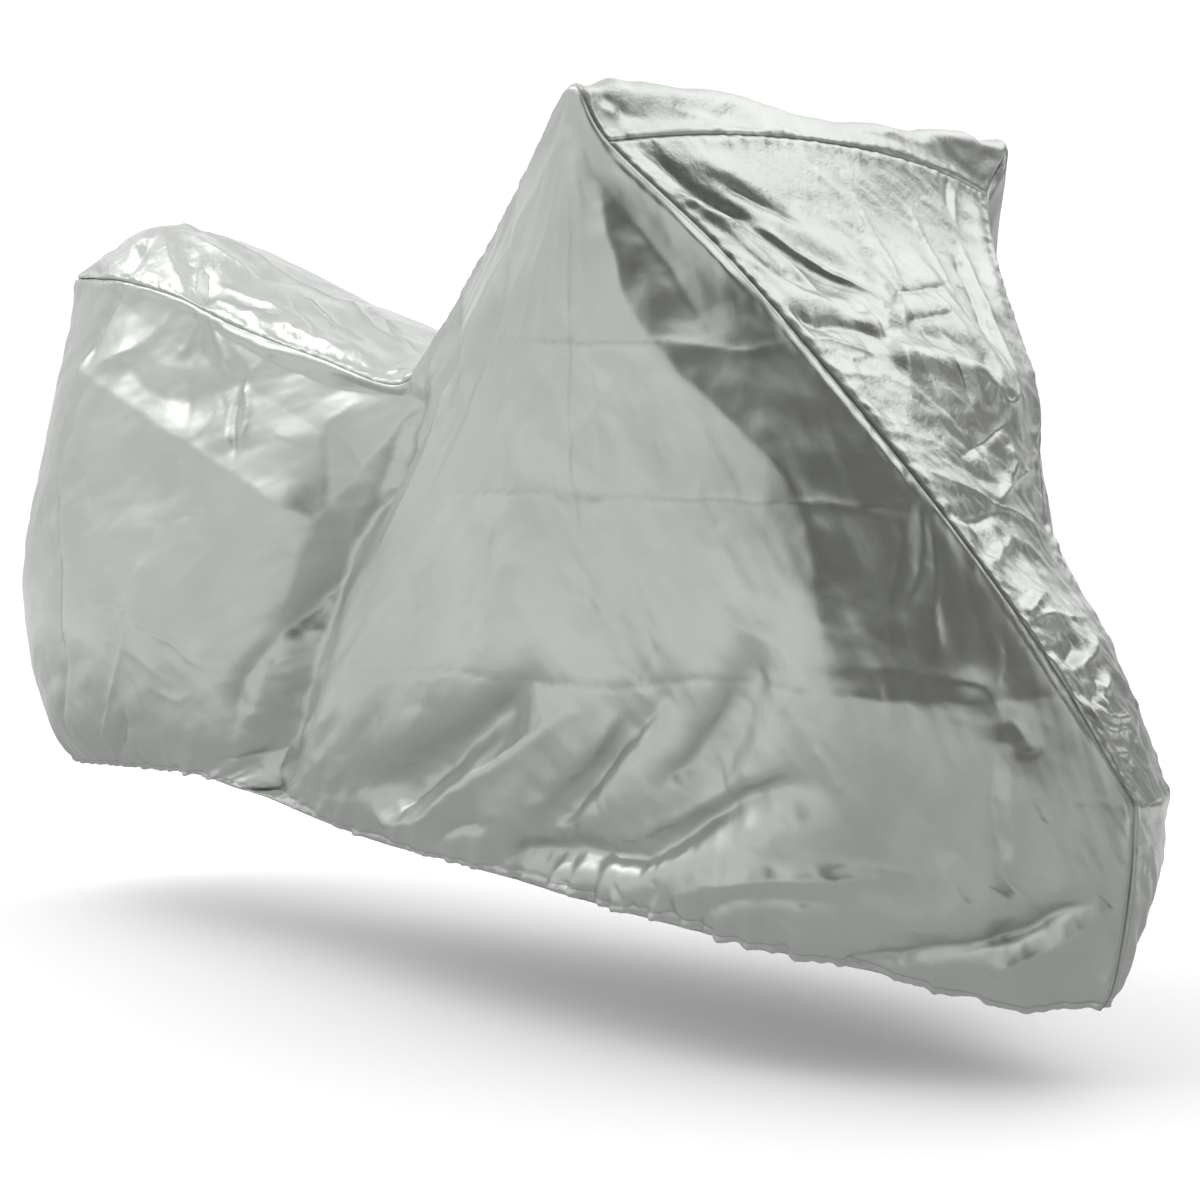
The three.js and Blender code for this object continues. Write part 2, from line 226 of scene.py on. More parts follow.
# smooth lumps of about that size in millimetres, from -1 to 1
def lumps(points, size, seed=0):
    spots = points.reshape(-1, points.shape[-1]) / size
    if spots.shape[1] == 2:
        spots = np.column_stack([spots, np.full(len(spots), seed * 7.3)])
    else:
        spots = spots + seed * 7.3
    return np.array([noise.noise(Vector(spot)) for spot in spots]).reshape(points.shape[:-1])


# flat facets between straight sharp creases in all directions, as in cloth that was packed and shaken
# out; spots are millimetres on the flat cloth, and each set of creases comes and goes
def facets(spots, size, seed):
    chance = np.random.default_rng(seed)
    height = np.zeros(spots.shape[:-1])
    for number in range(8):
        turn, pitch = chance.uniform(0, math.pi), size * chance.uniform(0.7, 1.8)
        across = (spots[..., 0] * math.cos(turn) + spots[..., 1] * math.sin(turn)) / pitch
        phase = across + 0.55 * lumps(spots, size * 2.6, seed + number) + chance.uniform()
        zigzag = np.abs(phase - np.floor(phase) - 0.5) * 2 - 0.5
        present = ease(lumps(spots, size * 1.7, seed + 20 + number) * 2.2 + 0.45)
        height += zigzag * pitch / size * present
    return height / 2


def ease(value):
    value = np.clip(value, 0, 1)
    return value * value * (3 - 2 * value)


def sharpLine(d):
    return np.exp(-1.3 * np.abs(d))


profiles = {
    "mainFolds": lambda d: np.exp(-(d**2)),        # a round ridge, or a valley where it is negative
    "folds": lambda d: np.exp(-(np.abs(d) ** 1.5)),   # the same with a pinched crest
    "presses": sharpLine,
    "pressLines": sharpLine,   # where the cloth was folded flat; the colour is darker along these lines
    "breaks": lambda d: d * np.exp(0.5 - d**2 / 2),   # up on the left of its line, down on the right
    # a sharp edge, with an even slope on the left of its line and falling away slowly on the right
    "ledges": lambda d: np.where(d > 0, np.clip(1 - d, 0, 1) ** 1.2, np.clip(1 + d / 4, 0, 1) ** 2),
}
# how far each kind of crease stands out against the depths given for it
strengths = {"folds": 1.3, "presses": 1.0, "pressLines": 1.0, "breaks": 1.3, "ledges": 1.3}


def liftOf(rows, profile, places, wobble):
    lift = np.zeros(places.shape[:-1])
    for _, wide, deep, line in rows:
        line = np.array(line, float)
        count = len(line) - 1
        line = smoothThrough(extended(line), np.linspace(0, count, count * 5 + 1))
        reach = 4 * wide
        near = np.all((places > line.min(0) - reach) & (places < line.max(0) + reach), axis=-1)
        spots = places[near]
        if not len(spots):
            continue
        nearest, along, side = (np.full(len(spots), v) for v in (1e9, 0.0, 0.0))
        for k, (begin, end) in enumerate(zip(line[:-1], line[1:])):
            run, ahead = end - begin, spots - begin
            share = np.clip(ahead @ run / (run @ run), 0, 1)
            gap = np.linalg.norm(ahead - share[:, None] * run, axis=1)
            closer = gap < nearest
            nearest = np.where(closer, gap, nearest)
            along = np.where(closer, (k + share) / (len(line) - 1), along)
            side = np.where(closer, np.sign(run[0] * ahead[:, 1] - run[1] * ahead[:, 0]), side)
        toEnd = np.minimum(along, 1 - along)
        fade = ease(toEnd * 8) if profile in ("ledges", "breaks") else np.minimum(1, 4 * toEnd + 0.25)
        lift[near] += deep * fade * profiles[profile]((side * nearest + wobble[near]) / wide)
    return lift


rightSide = {
    "piece": "right_side_cloth",
    "node": "side_panel_right",
    "spacing": 5.2,         # millimetres of seam between two columns
    "rows": 190,
    "seenAs": (0, 2),       # its lines are in X and Z
    "flat": (2.15, 1.12),   # metres, as cut
    "area": 1.75,
    "sway": 1.3,            # soft lumps, their height in millimetres
    "facets": [(200, 6.0), (80, 1.9), (38, 0.5)],   # how wide the flat facets are, and how high
    "crinkled": 0.12,       # fine crinkles in the material
    "scatter": {"count": 70, "within": ((-250, 150), (1600, 950)),
                "reach": (15, 80), "deep": (0.8, 2.0)},
    "mainFolds": [
        ("soft ridge under peak", 60, 7,
         [(1043, 1078), (1134, 918), (1215, 828), (1325, 685), (1352, 471)]),
        ("slack above hem, rear", 34, -24, [(924, 428), (796, 362), (645, 293), (540, 255)]),
        ("slack above hem, middle", 30, -22, [(1102, 454), (999, 346), (869, 256)]),
        ("slack above hem, long", 34, -25, [(1338, 377), (1180, 310), (1037, 252), (818, 210)]),
        ("slack above hem, short", 28, -18, [(1283, 527), (1235, 414), (1156, 326)]),
        ("tuck in front of hem", 30, -14, [(1300, 133), (1469, 183), (1583, 250)]),
    ],
    "folds": [
        ("pucker under star, near", 7, 3, [(143, 888), (113, 847), (94, 828)]),
        ("pucker under star, far", 8, 3, [(154, 883), (186, 845), (216, 808)]),
        ("tilted facet under star", 24, -6, [(150, 866), (116, 803), (142, 740)]),
        ("bright edge of tail", 12, 4, [(82, 894), (10, 844), (-83, 807)]),
        ("upright pull of rear", 7, 4, [(249, 794), (267, 757), (265, 693)]),
        ("valley beside that pull", 6, -4, [(237, 777), (243, 736), (257, 693)]),
        ("soft valley of tail", 13, -6, [(-60, 931), (-95, 879), (-102, 806)]),
        ("edge fold of tail, upper", 12, -4, [(-95, 778), (-160, 659), (-135, 554), (-131, 407)]),
        ("faint pull of rear", 14, -3, [(148, 689), (110, 623), (100, 575)]),
        ("pocket above rear hem", 9, -7, [(-2, 316), (-31, 277), (-96, 225)]),
        ("deep of valley", 17, -9, [(437, 559), (373, 488), (307, 420), (263, 367), (242, 308)]),
        ("light strip under front seam", 15, 5, [(1084, 1092), (1126, 1045), (1204, 957), (1240, 912)]),
        ("soft upright pair, dark", 22, -5, [(885, 677), (853, 575), (800, 491)]),
        ("soft upright pair, light", 22, 5, [(935, 705), (896, 595), (839, 493)]),
        ("bulge over rear hem", 14, 6, [(250, 240), (347, 301), (439, 349)]),
        ("edge of rise, valley", 20, -5, [(890, 1002), (884, 895), (812, 794), (741, 697)]),
        ("edge of rise, ridge", 14, 4, [(743, 845), (721, 770), (689, 682), (610, 595)]),
        ("soft band under peak, left", 16, 3, [(1006, 964), (983, 837), (945, 718)]),
        ("edge of flat under front seam", 30, 7,
         [(1080, 1042), (1096, 989), (1125, 906), (1160, 853), (1213, 805), (1287, 736), (1321, 688)]),
        ("edge of that flat, lower", 24, 6, [(1321, 688), (1344, 618), (1353, 552), (1353, 469)]),
        ("soft dark core", 20, -5, [(1095, 1016), (1139, 974), (1180, 914), (1227, 856)]),
        ("deep by foot of flat", 13, -6, [(1460, 487), (1491, 476), (1504, 449), (1506, 415)]),
        ("soft valley right of it", 12, -4, [(1511, 454), (1524, 424), (1535, 399)]),
        ("ray from front seam, first", 8, 4, [(1422, 687), (1427, 623), (1422, 555)]),
        ("slack one, valley", 18, -13, [(924, 450), (771, 352), (653, 279), (624, 244)]),
        ("slack one, ridge", 14, 10,
         [(987, 421), (845, 336), (733, 274), (686, 245), (594, 227), (571, 246)]),
        ("slack two, valley", 15, -9, [(1153, 459), (1063, 387), (965, 306), (909, 261)]),
        ("slack two, ridge", 15, 9, [(1066, 432), (967, 342), (873, 269)]),
        ("slack three, valley", 14, -8, [(1245, 480), (1218, 433), (1162, 370), (1123, 343)]),
        ("slack four, valley", 13, -10,
         [(1274, 361), (1202, 327), (1127, 279), (1064, 248), (948, 237), (857, 225), (811, 202)]),
        ("slack four, ridge", 16, 10, [(1296, 387), (1220, 350), (1138, 310), (1072, 280), (989, 264)]),
        ("slack five, valley", 9, -6, [(817, 260), (748, 242), (681, 210)]),
        ("slack six, valley", 9, -3, [(1333, 216), (1262, 219), (1204, 211), (1142, 182)]),
        ("slack six, ridge", 12, 5, [(1373, 248), (1281, 244), (1193, 230), (1115, 203)]),
        ("tuck over front hem", 8, -7,
         [(1292, 134), (1353, 149), (1432, 169), (1491, 189), (1537, 216), (1571, 232)]),
        ("puff over that tuck", 20, 6, [(1359, 186), (1441, 205), (1510, 229), (1566, 263)]),
        ("puff under that tuck", 16, 5, [(1448, 135), (1526, 171), (1580, 216)]),
        ("upright light of front", 10, 3, [(1514, 391), (1508, 314), (1501, 255)]),
    ],
    "presses": [
        ("edge of dark facet", 130, 14,
         [(1094, 1003), (1128, 906), (1213, 805), (1287, 736), (1323, 685), (1347, 574), (1353, 472)]),
        ("foot of dark facet", 120, 12, [(1300, 476), (1400, 466), (1487, 462), (1580, 472)]),
        ("edge of light wedge", 80, -10, [(1418, 730), (1411, 618), (1407, 529), (1398, 461)]),
        ("fan from peak, first", 9, 2, [(1042, 1100), (985, 953), (903, 764), (797, 539)]),
        ("fan from peak, second", 8, 1.6, [(1046, 1100), (1025, 952), (992, 767), (940, 598)]),
        ("fan from peak, third", 8, 1.6, [(1050, 1090), (1067, 952), (1076, 769), (1081, 606)]),
        ("fan from peak, fourth", 10, 2, [(1036, 1100), (920, 1001), (801, 870), (717, 733)]),
        ("thin pull of rear", 4, 2, [(236, 798), (207, 756), (163, 713)]),
        ("short pull below saddle", 5, 2, [(462, 775), (415, 743), (395, 702)]),
        ("edge fold of tail, lower", 8, -5, [(-138, 529), (-136, 381), (-193, 271)]),
        ("pair of pulls to hem, left", 6, 3, [(85, 542), (54, 493), (20, 445), (-10, 417)]),
        ("pair of pulls to hem, right", 6, 3, [(56, 469), (18, 394), (-41, 315), (-100, 250)]),
        ("bright press of rear", 5, 3, [(55, 459), (137, 433), (204, 400)]),
        ("faint level press of rear", 5, 2, [(-55, 476), (56, 467)]),
        ("tuck out of valley", 8, 2, [(352, 422), (300, 401), (263, 367)]),
        ("sweep over rear hem", 8, -5, [(185, 260), (280, 279), (351, 310)]),
        ("valley line, high", 7, -5, [(624, 815), (535, 736), (484, 655), (440, 586)]),
        ("crumple in valley", 7, 2, [(457, 627), (494, 655), (575, 687)]),
        ("ray from front seam, second", 6, -3, [(1429, 662), (1441, 596), (1449, 512)]),
        ("short upright press", 5, 2, [(1507, 529), (1508, 472)]),
        ("short press above hem", 6, -2, [(1253, 201), (1275, 184), (1320, 161)]),
        ("bright press of front", 6, 3, [(1329, 410), (1339, 383), (1351, 352)]),
        ("press over level press", 5, -2, [(1140, 507), (1123, 485), (1103, 461)]),
        ("line behind tuck", 6, -2, [(1303, 195), (1315, 176), (1325, 159)]),
        ("short tuck at nose", 7, -3, [(1579, 246), (1587, 236), (1594, 224)]),
        ("upright dark of front", 8, -4, [(1499, 397), (1492, 307), (1496, 255), (1503, 238)]),
        ("short dark of nose", 5, -3, [(1534, 353), (1542, 324)]),
        ("faint presses low, first", 5, 2, [(1436, 260), (1455, 219)]),
        ("faint presses low, second", 5, 2, [(1476, 247), (1494, 231)]),
        ("hem crumple, first", 5, -4, [(910, 206), (931, 195), (949, 184)]),
        ("hem crumple, second", 5, -4, [(1026, 213), (1037, 192), (1047, 181)]),
        ("hem crumple, third", 5, -3, [(1087, 224), (1093, 208), (1071, 188)]),
        ("crease over front hem", 6, -3, [(1450, 143), (1483, 131)]),
    ],
    "pressLines": [
        ("upright under peak", 5, 2,
         [(1044, 1077), (1050, 952), (1037, 814), (1032, 684), (1020, 459)]),
        ("level, upper", 5, 2, [(887, 863), (1054, 857), (1159, 858), (1247, 847), (1297, 859)]),
        ("level, middle", 5, 2, [(756, 670), (932, 679), (1072, 682), (1328, 679), (1418, 671)]),
        ("level, lower", 5, -2,
         [(527, 429), (757, 450), (876, 445), (1018, 453), (1072, 455), (1212, 475), (1353, 469)]),
    ],
    "ledges": [
        ("bright slope of rear", 115, 17, [(-135, 812), (-89, 792), (55, 741), (255, 668), (430, 598)]),
        ("dark facet under star", 42, -5, [(-26, 826), (45, 780), (156, 768), (264, 805)]),
        ("facet right of upright pull", 46, 5, [(240, 695), (233, 756), (264, 805), (160, 882)]),
        ("wall of valley", 52, -26,
         [(190, 60), (281, 265), (326, 321), (388, 457), (440, 586), (560, 700), (680, 830), (740, 900)]),
        ("dark band under saddle seam", 26, -7,
         [(60, 905), (155, 872), (240, 842), (335, 812), (430, 790), (540, 780), (640, 785)]),
    ],
    "hemAxis": 1,           # the hem is the end of its rows
    "nearSeam": 16,         # the gathers die out that close to a seam
    # along the hem, X and how tightly it is gathered there
    "gathers": [(-320, 0.4), (-60, 0.5), (120, 0.9), (230, 1.3), (330, 0.7), (560, 0.5), (760, 0.9),
                (880, 1.2), (1020, 1.2), (1180, 1.1), (1300, 0.9), (1420, 0.8), (1570, 0.4)],
}

leftSide = {
    "piece": "left_side_cloth",
    "node": "side_panel_left",
    "spacing": 7.0,
    "rows": 150,
    "seenAs": (0, 2),
    "flat": (2.15, 1.12),
    "area": 1.7,
    "sway": 2.4,
    "facets": [(190, 6.0), (80, 2.2)],
    "crinkled": 0.15,
    "scatter": {"count": 70, "within": ((-250, 150), (1600, 950)),
                "reach": (15, 90), "deep": (0.8, 2.2)},
    "mainFolds": [
        ("pull from peak", 55, 12, [(1100, 1050), (1120, 850), (1160, 620), (1230, 420)]),
        ("slack above hem, rear", 40, -13, [(860, 440), (730, 370), (620, 290)]),
        ("slack above hem, long", 40, -15, [(1250, 400), (1080, 320), (900, 240)]),
        ("break across rear", 50, 7, [(-120, 770), (80, 720), (330, 600)]),
    ],
    "folds": [
        ("band under saddle seam", 8, -5, [(150, 868), (237, 838), (335, 806), (430, 785), (470, 776)]),
        ("deep of valley", 17, -8, [(437, 559), (373, 488), (307, 420), (263, 367), (242, 308)]),
        ("fold over valley", 9, 6, [(452, 580), (407, 510), (369, 447), (343, 390), (274, 278)]),
        ("soft pull under peak", 18, 5, [(1090, 1000), (1075, 860), (1030, 690), (960, 520)]),
        ("slack one", 18, -8, [(1010, 470), (870, 380), (740, 300), (690, 250)]),
        ("slack two", 14, -6, [(1230, 450), (1120, 370), (1010, 290), (960, 250)]),
        ("slack three", 11, -6, [(1330, 330), (1230, 290), (1100, 240)]),
        ("ridge over slack", 12, 5, [(1130, 470), (980, 370), (850, 280)]),
        ("tuck over front hem", 9, -7, [(1270, 140), (1350, 160), (1430, 200), (1500, 260)]),
    ],
    "presses": [
        ("rear press", 5, 3, [(-100, 640), (120, 560), (330, 520)]),
        ("pair of pulls to hem", 6, 3, [(70, 540), (20, 440), (-60, 280)]),
    ],
    "pressLines": [
        ("level, upper", 5, 2, [(800, 850), (1050, 845), (1250, 852)]),
        ("level, middle", 5, 2, [(700, 660), (1050, 672), (1350, 664)]),
        ("upright", 5, 2, [(1050, 1050), (1040, 800), (1010, 520)]),
    ],
    "ledges": [
        ("slope of rear", 115, 13, [(-130, 800), (60, 728), (260, 655), (415, 598)]),
        ("wall of valley", 50, -18,
         [(190, 60), (281, 265), (388, 457), (440, 586), (575, 700), (740, 900)]),
    ],
    "hemAxis": 1,
    "nearSeam": 16,
    "gathers": [(-320, 0.4), (100, 0.9), (260, 1.2), (500, 0.6), (800, 1.1), (1050, 1.4), (1300, 0.9),
                (1520, 0.4)],
}

topStrip = {
    "piece": "top_cloth",
    "node": "top_panel",
    "spacing": 3.1,
    "across": 170,
    "seenAs": (0, 1),
    "flat": (1.60, 0.80),
    "area": 0.74,
    "sway": 2.0,
    "facets": [(110, 4.0), (48, 1.5)],
    "crinkled": 0.45,
    "scatter": {"count": 60, "within": ((-280, -250), (1060, 250)),
                "reach": (10, 45), "deep": (0.6, 1.8)},
    "mainFolds": [
        ("crest by right peak", 45, 14, [(1054, -380), (1062, -290), (1068, -200), (1078, -60)]),
        ("crest by left peak", 30, 8, [(1104, 180), (1110, 320)]),
        ("slack of rise", 90, -14, [(700, 60), (840, 0), (990, -40)]),
        ("puff along saddle", 28, 8, [(230, -120), (340, -125), (470, -130)]),
        ("pull at saddle dip", 28, -8, [(-10, -70), (60, -110), (150, -145)]),
        ("pull across tail", 34, -7, [(-180, -40), (-120, -90)]),
    ],
    "folds": [
        ("star pull, upper light", 7, 4, [(37, -81), (81, -123), (131, -157)]),
        ("tail fold over seam", 13, -6, [(-90, -63), (-70, -104), (-61, -138)]),
        ("tail fold light", 9, 4, [(-60, -65), (3, -105), (70, -147)]),
        ("puff over double seam, first", 11, 6, [(130, -139), (187, -147), (245, -148)]),
        ("puff over double seam, second", 11, 6, [(265, -142), (342, -147), (411, -147)]),
        ("top pick, first", 9, 4, [(102, -109), (178, -110), (256, -106)]),
        ("top pick, sixth", 10, 4, [(-75, -24), (25, -42), (115, -45)]),
        ("top pick, seventh", 10, -3, [(-74, 14), (50, -16), (156, -24)]),
        ("pull up rise, right", 16, 6, [(610, -150), (760, -190), (900, -250), (1010, -320)]),
        ("pull up rise, middle", 22, 6, [(640, 20), (780, 40), (930, 70), (1050, 120)]),
        ("pull up rise, left", 15, 6, [(600, 140), (740, 190), (880, 260), (1010, 320)]),
        ("hollow between pulls", 20, -6, [(640, -70), (790, -90), (940, -130)]),
    ],
    "presses": [
        ("star pull, upper", 7, -5, [(72, -93), (101, -123), (139, -162)]),
        ("top pick, second", 6, 4, [(199, -34), (299, -70), (391, -90)]),
        ("top pick, third", 6, -3, [(212, -65), (316, -123), (368, -152)]),
        ("top pick, fourth", 6, 3, [(223, 30), (343, -25), (429, -42)]),
        ("top pick, fifth", 6, -3, [(242, 52), (345, 2), (457, -50)]),
        ("short lines at saddle front", 5, 3, [(492, -149), (517, -128)]),
        ("crest pull by right peak, first", 5, 3, [(1062, -379), (1073, -365), (1087, -338)]),
        ("crest pull by right peak, second", 5, -3, [(1065, -365), (1081, -340), (1097, -306)]),
        ("crest crinkle, first", 6, 2, [(1090, -280), (1107, -229), (1121, -209)]),
        ("crest crinkle, second", 6, 2, [(1126, 54), (1126, 137), (1128, 210)]),
        ("level press of rise", 6, 3, [(800, -280), (830, -60), (840, 120), (820, 260)]),
        ("crease down saddle", 6, 3, [(-190, 20), (-20, 12), (180, 18), (420, 8)]),
    ],
}

frontStrip = {
    "piece": "front_cloth",
    "node": "front_panel",
    "spacing": 3.0,
    "across": 200,
    "underRows": 66,
    "hemAxis": 0,
    "nearSeam": 12,
    "gathers": [(0, 0.5)],
    "seenAs": (1, 2),
    "flat": (1.15, 0.80),
    "area": 0.42,
    "sway": 2.0,
    "facets": [(130, 4.0), (48, 2.8), (24, 1.0)],
    # height above the ground and how crumpled the cloth is there
    "crumpled": [(300, 1.2), (700, 1.2), (860, 0.7), (980, 0.35), (1100, 0.3)],
    "crinkled": 0.5,
    "scatter": {"count": 60, "within": ((-280, 250), (300, 1080)),
                "reach": (10, 45), "deep": (0.6, 1.8)},
    "mainFolds": [
        ("ridge from right peak", 24, 10,
         [(-340, 1050), (-273, 955), (-235, 910), (-171, 880), (-96, 877)]),
        ("valley beside that ridge", 26, -11, [(-325, 1080), (-235, 985), (-130, 905)]),
        ("second ridge", 26, 8, [(-280, 1085), (-180, 1000), (-90, 925)]),
        ("push over middle", 85, 14, [(-60, 860), (60, 866)]),
        ("pull from left peak", 30, 9, [(290, 1050), (225, 960), (150, 880)]),
        ("break over nose", 32, -8, [(-120, 640), (0, 600), (70, 610)]),
    ],
    "folds": [
        ("step over nose", 110, 12, [(-200, 895), (-112, 862), (-50, 827), (38, 792), (120, 770)]),
        ("bright ridge beside front seam", 8, 6,
         [(-331, 1031), (-302, 1000), (-239, 967), (-202, 914), (-155, 878)]),
        ("dark band beyond that ridge", 9, -8,
         [(-333, 1079), (-307, 1054), (-286, 1028), (-254, 1007), (-230, 994)]),
        ("second bright ridge", 9, 6, [(-232, 996), (-192, 964), (-145, 921), (-107, 883)]),
        ("soft dark valley of slope", 14, -8, [(-259, 1047), (-208, 1019), (-161, 995)]),
        ("dark valley between ridges", 8, -7,
         [(-289, 969), (-256, 944), (-210, 919), (-179, 894), (-138, 882)]),
        ("dark flat by front seam", 11, -6, [(-266, 899), (-246, 878), (-194, 874), (-160, 858)]),
        ("long crinkle by left edge", 8, 4, [(160, 975), (125, 907), (100, 846), (81, 805)]),
        ("dark crinkle by left edge", 6, -4, [(122, 956), (102, 907), (72, 853)]),
        ("dark band under crossing", 7, -4, [(-193, 670), (-150, 659), (-78, 660)]),
        ("bright facet one", 10, 5, [(4, 736), (6, 707), (-63, 677)]),
        ("bright facet two", 7, 4, [(-198, 660), (-179, 648), (-158, 638)]),
        ("bright facet three", 7, 4, [(-177, 610), (-117, 624), (-76, 632)]),
        ("bright facet four", 7, 4, [(-84, 577), (-129, 566), (-153, 554)]),
        ("bright facet five", 8, 4, [(-32, 531), (-68, 507), (-119, 498)]),
        ("dark facet five", 9, -4, [(-102, 537), (-92, 520), (-127, 504)]),
        ("bright facet six", 7, 4, [(-47, 484), (-84, 466), (-75, 448)]),
        ("dark facet six", 8, -4, [(-79, 492), (-84, 471), (-109, 457)]),
        ("long line beside seam, low", 6, 3, [(-141, 524), (-123, 490), (-100, 448)]),
    ],
    "presses": [
        ("bright line under it", 5, 4, [(-260, 859), (-217, 855), (-182, 842)]),
        ("crinkle of slope, first", 5, 2, [(-31, 1059), (-35, 974), (-42, 931), (-104, 858)]),
        ("crinkle of slope, second", 6, 3, [(78, 1021), (72, 961), (58, 908)]),
        ("crinkle of slope, third", 5, 2, [(-103, 1072), (-58, 1020), (-41, 960), (-51, 907)]),
        ("arrow crease, upper", 5, -4, [(-106, 891), (-35, 914), (62, 922)]),
        ("arrow crease, lower", 5, -4, [(-88, 877), (-43, 884), (18, 891)]),
        ("small cross of front", 5, 3, [(16, 825), (24, 783), (74, 797)]),
        ("gather by left peak, second", 6, -4, [(211, 1064), (174, 1017)]),
        ("gather by left peak, third", 5, 3, [(215, 1046), (175, 1000)]),
        ("long crossing crease", 6, 4, [(-202, 714), (-149, 695), (-87, 670), (-39, 656), (36, 639)]),
        ("dark line to crossing", 6, -4, [(-116, 724), (-46, 741), (23, 759)]),
        ("second line of crossing", 6, 3, [(-80, 672), (-4, 690), (94, 706)]),
        ("line down from slope", 5, -2, [(-41, 813), (-10, 798), (24, 783)]),
        ("level crease over nose", 5, 4, [(-159, 550), (-109, 553), (-91, 549), (16, 542)]),
        ("arc one of nose", 5, 4, [(-105, 459), (-82, 443), (-31, 439)]),
        ("arc two of nose", 5, 4, [(-106, 433), (-87, 425), (-44, 426)]),
        ("arc three of nose", 5, 3, [(-94, 404), (-72, 401), (-64, 390)]),
        ("rays of nose tip, first", 4, 2, [(-65, 273), (-42, 283)]),
        ("rays of nose tip, second", 4, 2, [(-57, 257), (-34, 268)]),
    ],
    "breaks": [
        ("turn of slope", 18, -7, [(-163, 855), (-104, 849), (-29, 834), (21, 799)]),
    ],
}

sewing = {
    "hold": 0.07,          # share of a panel beside its seams over which the main folds die out
    "puffHeight": 2.8,     # the cloth stands up beside a seam, millimetres
    "puffReach": 6.5,
    "groove": 1.2,
    "pucker": 0.8,         # small pleats that run out from a seam
    "puckerPitch": 13,
    "gather": 9.0,         # pleats that run up from the hem
    "gatherPitch": 13,
    "channel": 18,         # height of the sewn channel that the elastic runs in
    "turnIn": 6,
    "insideRows": 6,       # rows of the cloth turned up inside
    "hemThick": 2.5,       # cloth, elastic and the cloth turned up inside
}


# short straight creases here and there, most of them along or across the length of the cloth
def scatteredPresses(panel, seed):
    chance = np.random.default_rng(seed)
    (low, high), rows = panel["scatter"]["within"], []
    for _ in range(panel["scatter"]["count"]):
        middle = chance.uniform(low, high)
        turn = chance.choice([0, 0.25, 0.5, 0.75]) * math.pi + chance.normal(0, 0.16)
        reach = np.array([math.cos(turn), math.sin(turn)]) * chance.uniform(*panel["scatter"]["reach"])
        bend = chance.normal(0, 5, 2)
        deep = chance.choice([-1, 1]) * chance.uniform(*panel["scatter"]["deep"])
        line = [middle - reach, middle + bend, middle + reach]
        rows.append(("small press", chance.uniform(5, 9), deep, line))
    return rows


# how far each place is from the nearest sewn edge, and how far along that edge
def fromSeams(places, sewn):
    down, along = runAlong(places, 1), runAlong(places, 0)
    edges = {
        "firstRow": (down, along[:, :1]),
        "lastRow": (down[:, -1:] - down, along[:, -1:]),
        "firstColumn": (along, down[:1]),
        "lastColumn": (along[-1:] - along, down[-1:]),
    }
    away, run = np.full(down.shape, 1e9), np.zeros(down.shape)
    for name in sewn:
        distance, travelled = edges[name]
        run = np.where(distance < away, np.broadcast_to(travelled, down.shape), run)
        away = np.minimum(away, distance)
    return away, run


# lumps on a strip beside an edge, so long on the run of it and so far away from it
def edgeLumps(run, away, pitch, reach, seed):
    return lumps(np.stack([run / pitch, away / reach], axis=-1), 1, seed)


def besideSeams(away, run, seed):
    s = sewing
    puff = s["puffHeight"] * away / s["puffReach"] * np.exp(1 - away / s["puffReach"])
    groove = -s["groove"] * np.exp(-((away / 3) ** 2))
    beat = edgeLumps(run, away, s["puckerPitch"], 40, seed)
    slow = edgeLumps(run, away, 60, 80, seed + 1)
    pleats = s["pucker"] * 2 * beat * ease(away / 5) * np.exp(-away / 20) * (0.8 + 1.6 * slow)
    return groove + puff * (1 + 0.5 * beat) + pleats


def aboveHem(away, run, tight, seed):
    s = sewing
    long = edgeLumps(run, away, s["gatherPitch"] * 1.9, 130, seed) * np.exp(-away / 60)
    short = edgeLumps(run, away, s["gatherPitch"], 50, seed + 1) * np.exp(-away / 24)
    tiny = edgeLumps(run, away, 5.5, 30, seed + 2) * np.exp(-away / 16)
    pleats = s["gather"] * tight * (1.5 * long + 1.2 * short + 0.3 * tiny) * ease(away / 13 + 0.18)
    line = -1.6 * np.exp(-(((away - s["channel"]) / 3) ** 2))
    plump = 1.3 * np.exp(-(((away - s["channel"] / 2) / 6) ** 2))
    return pleats + line + plump - s["turnIn"] * (1 - ease(away / 11))


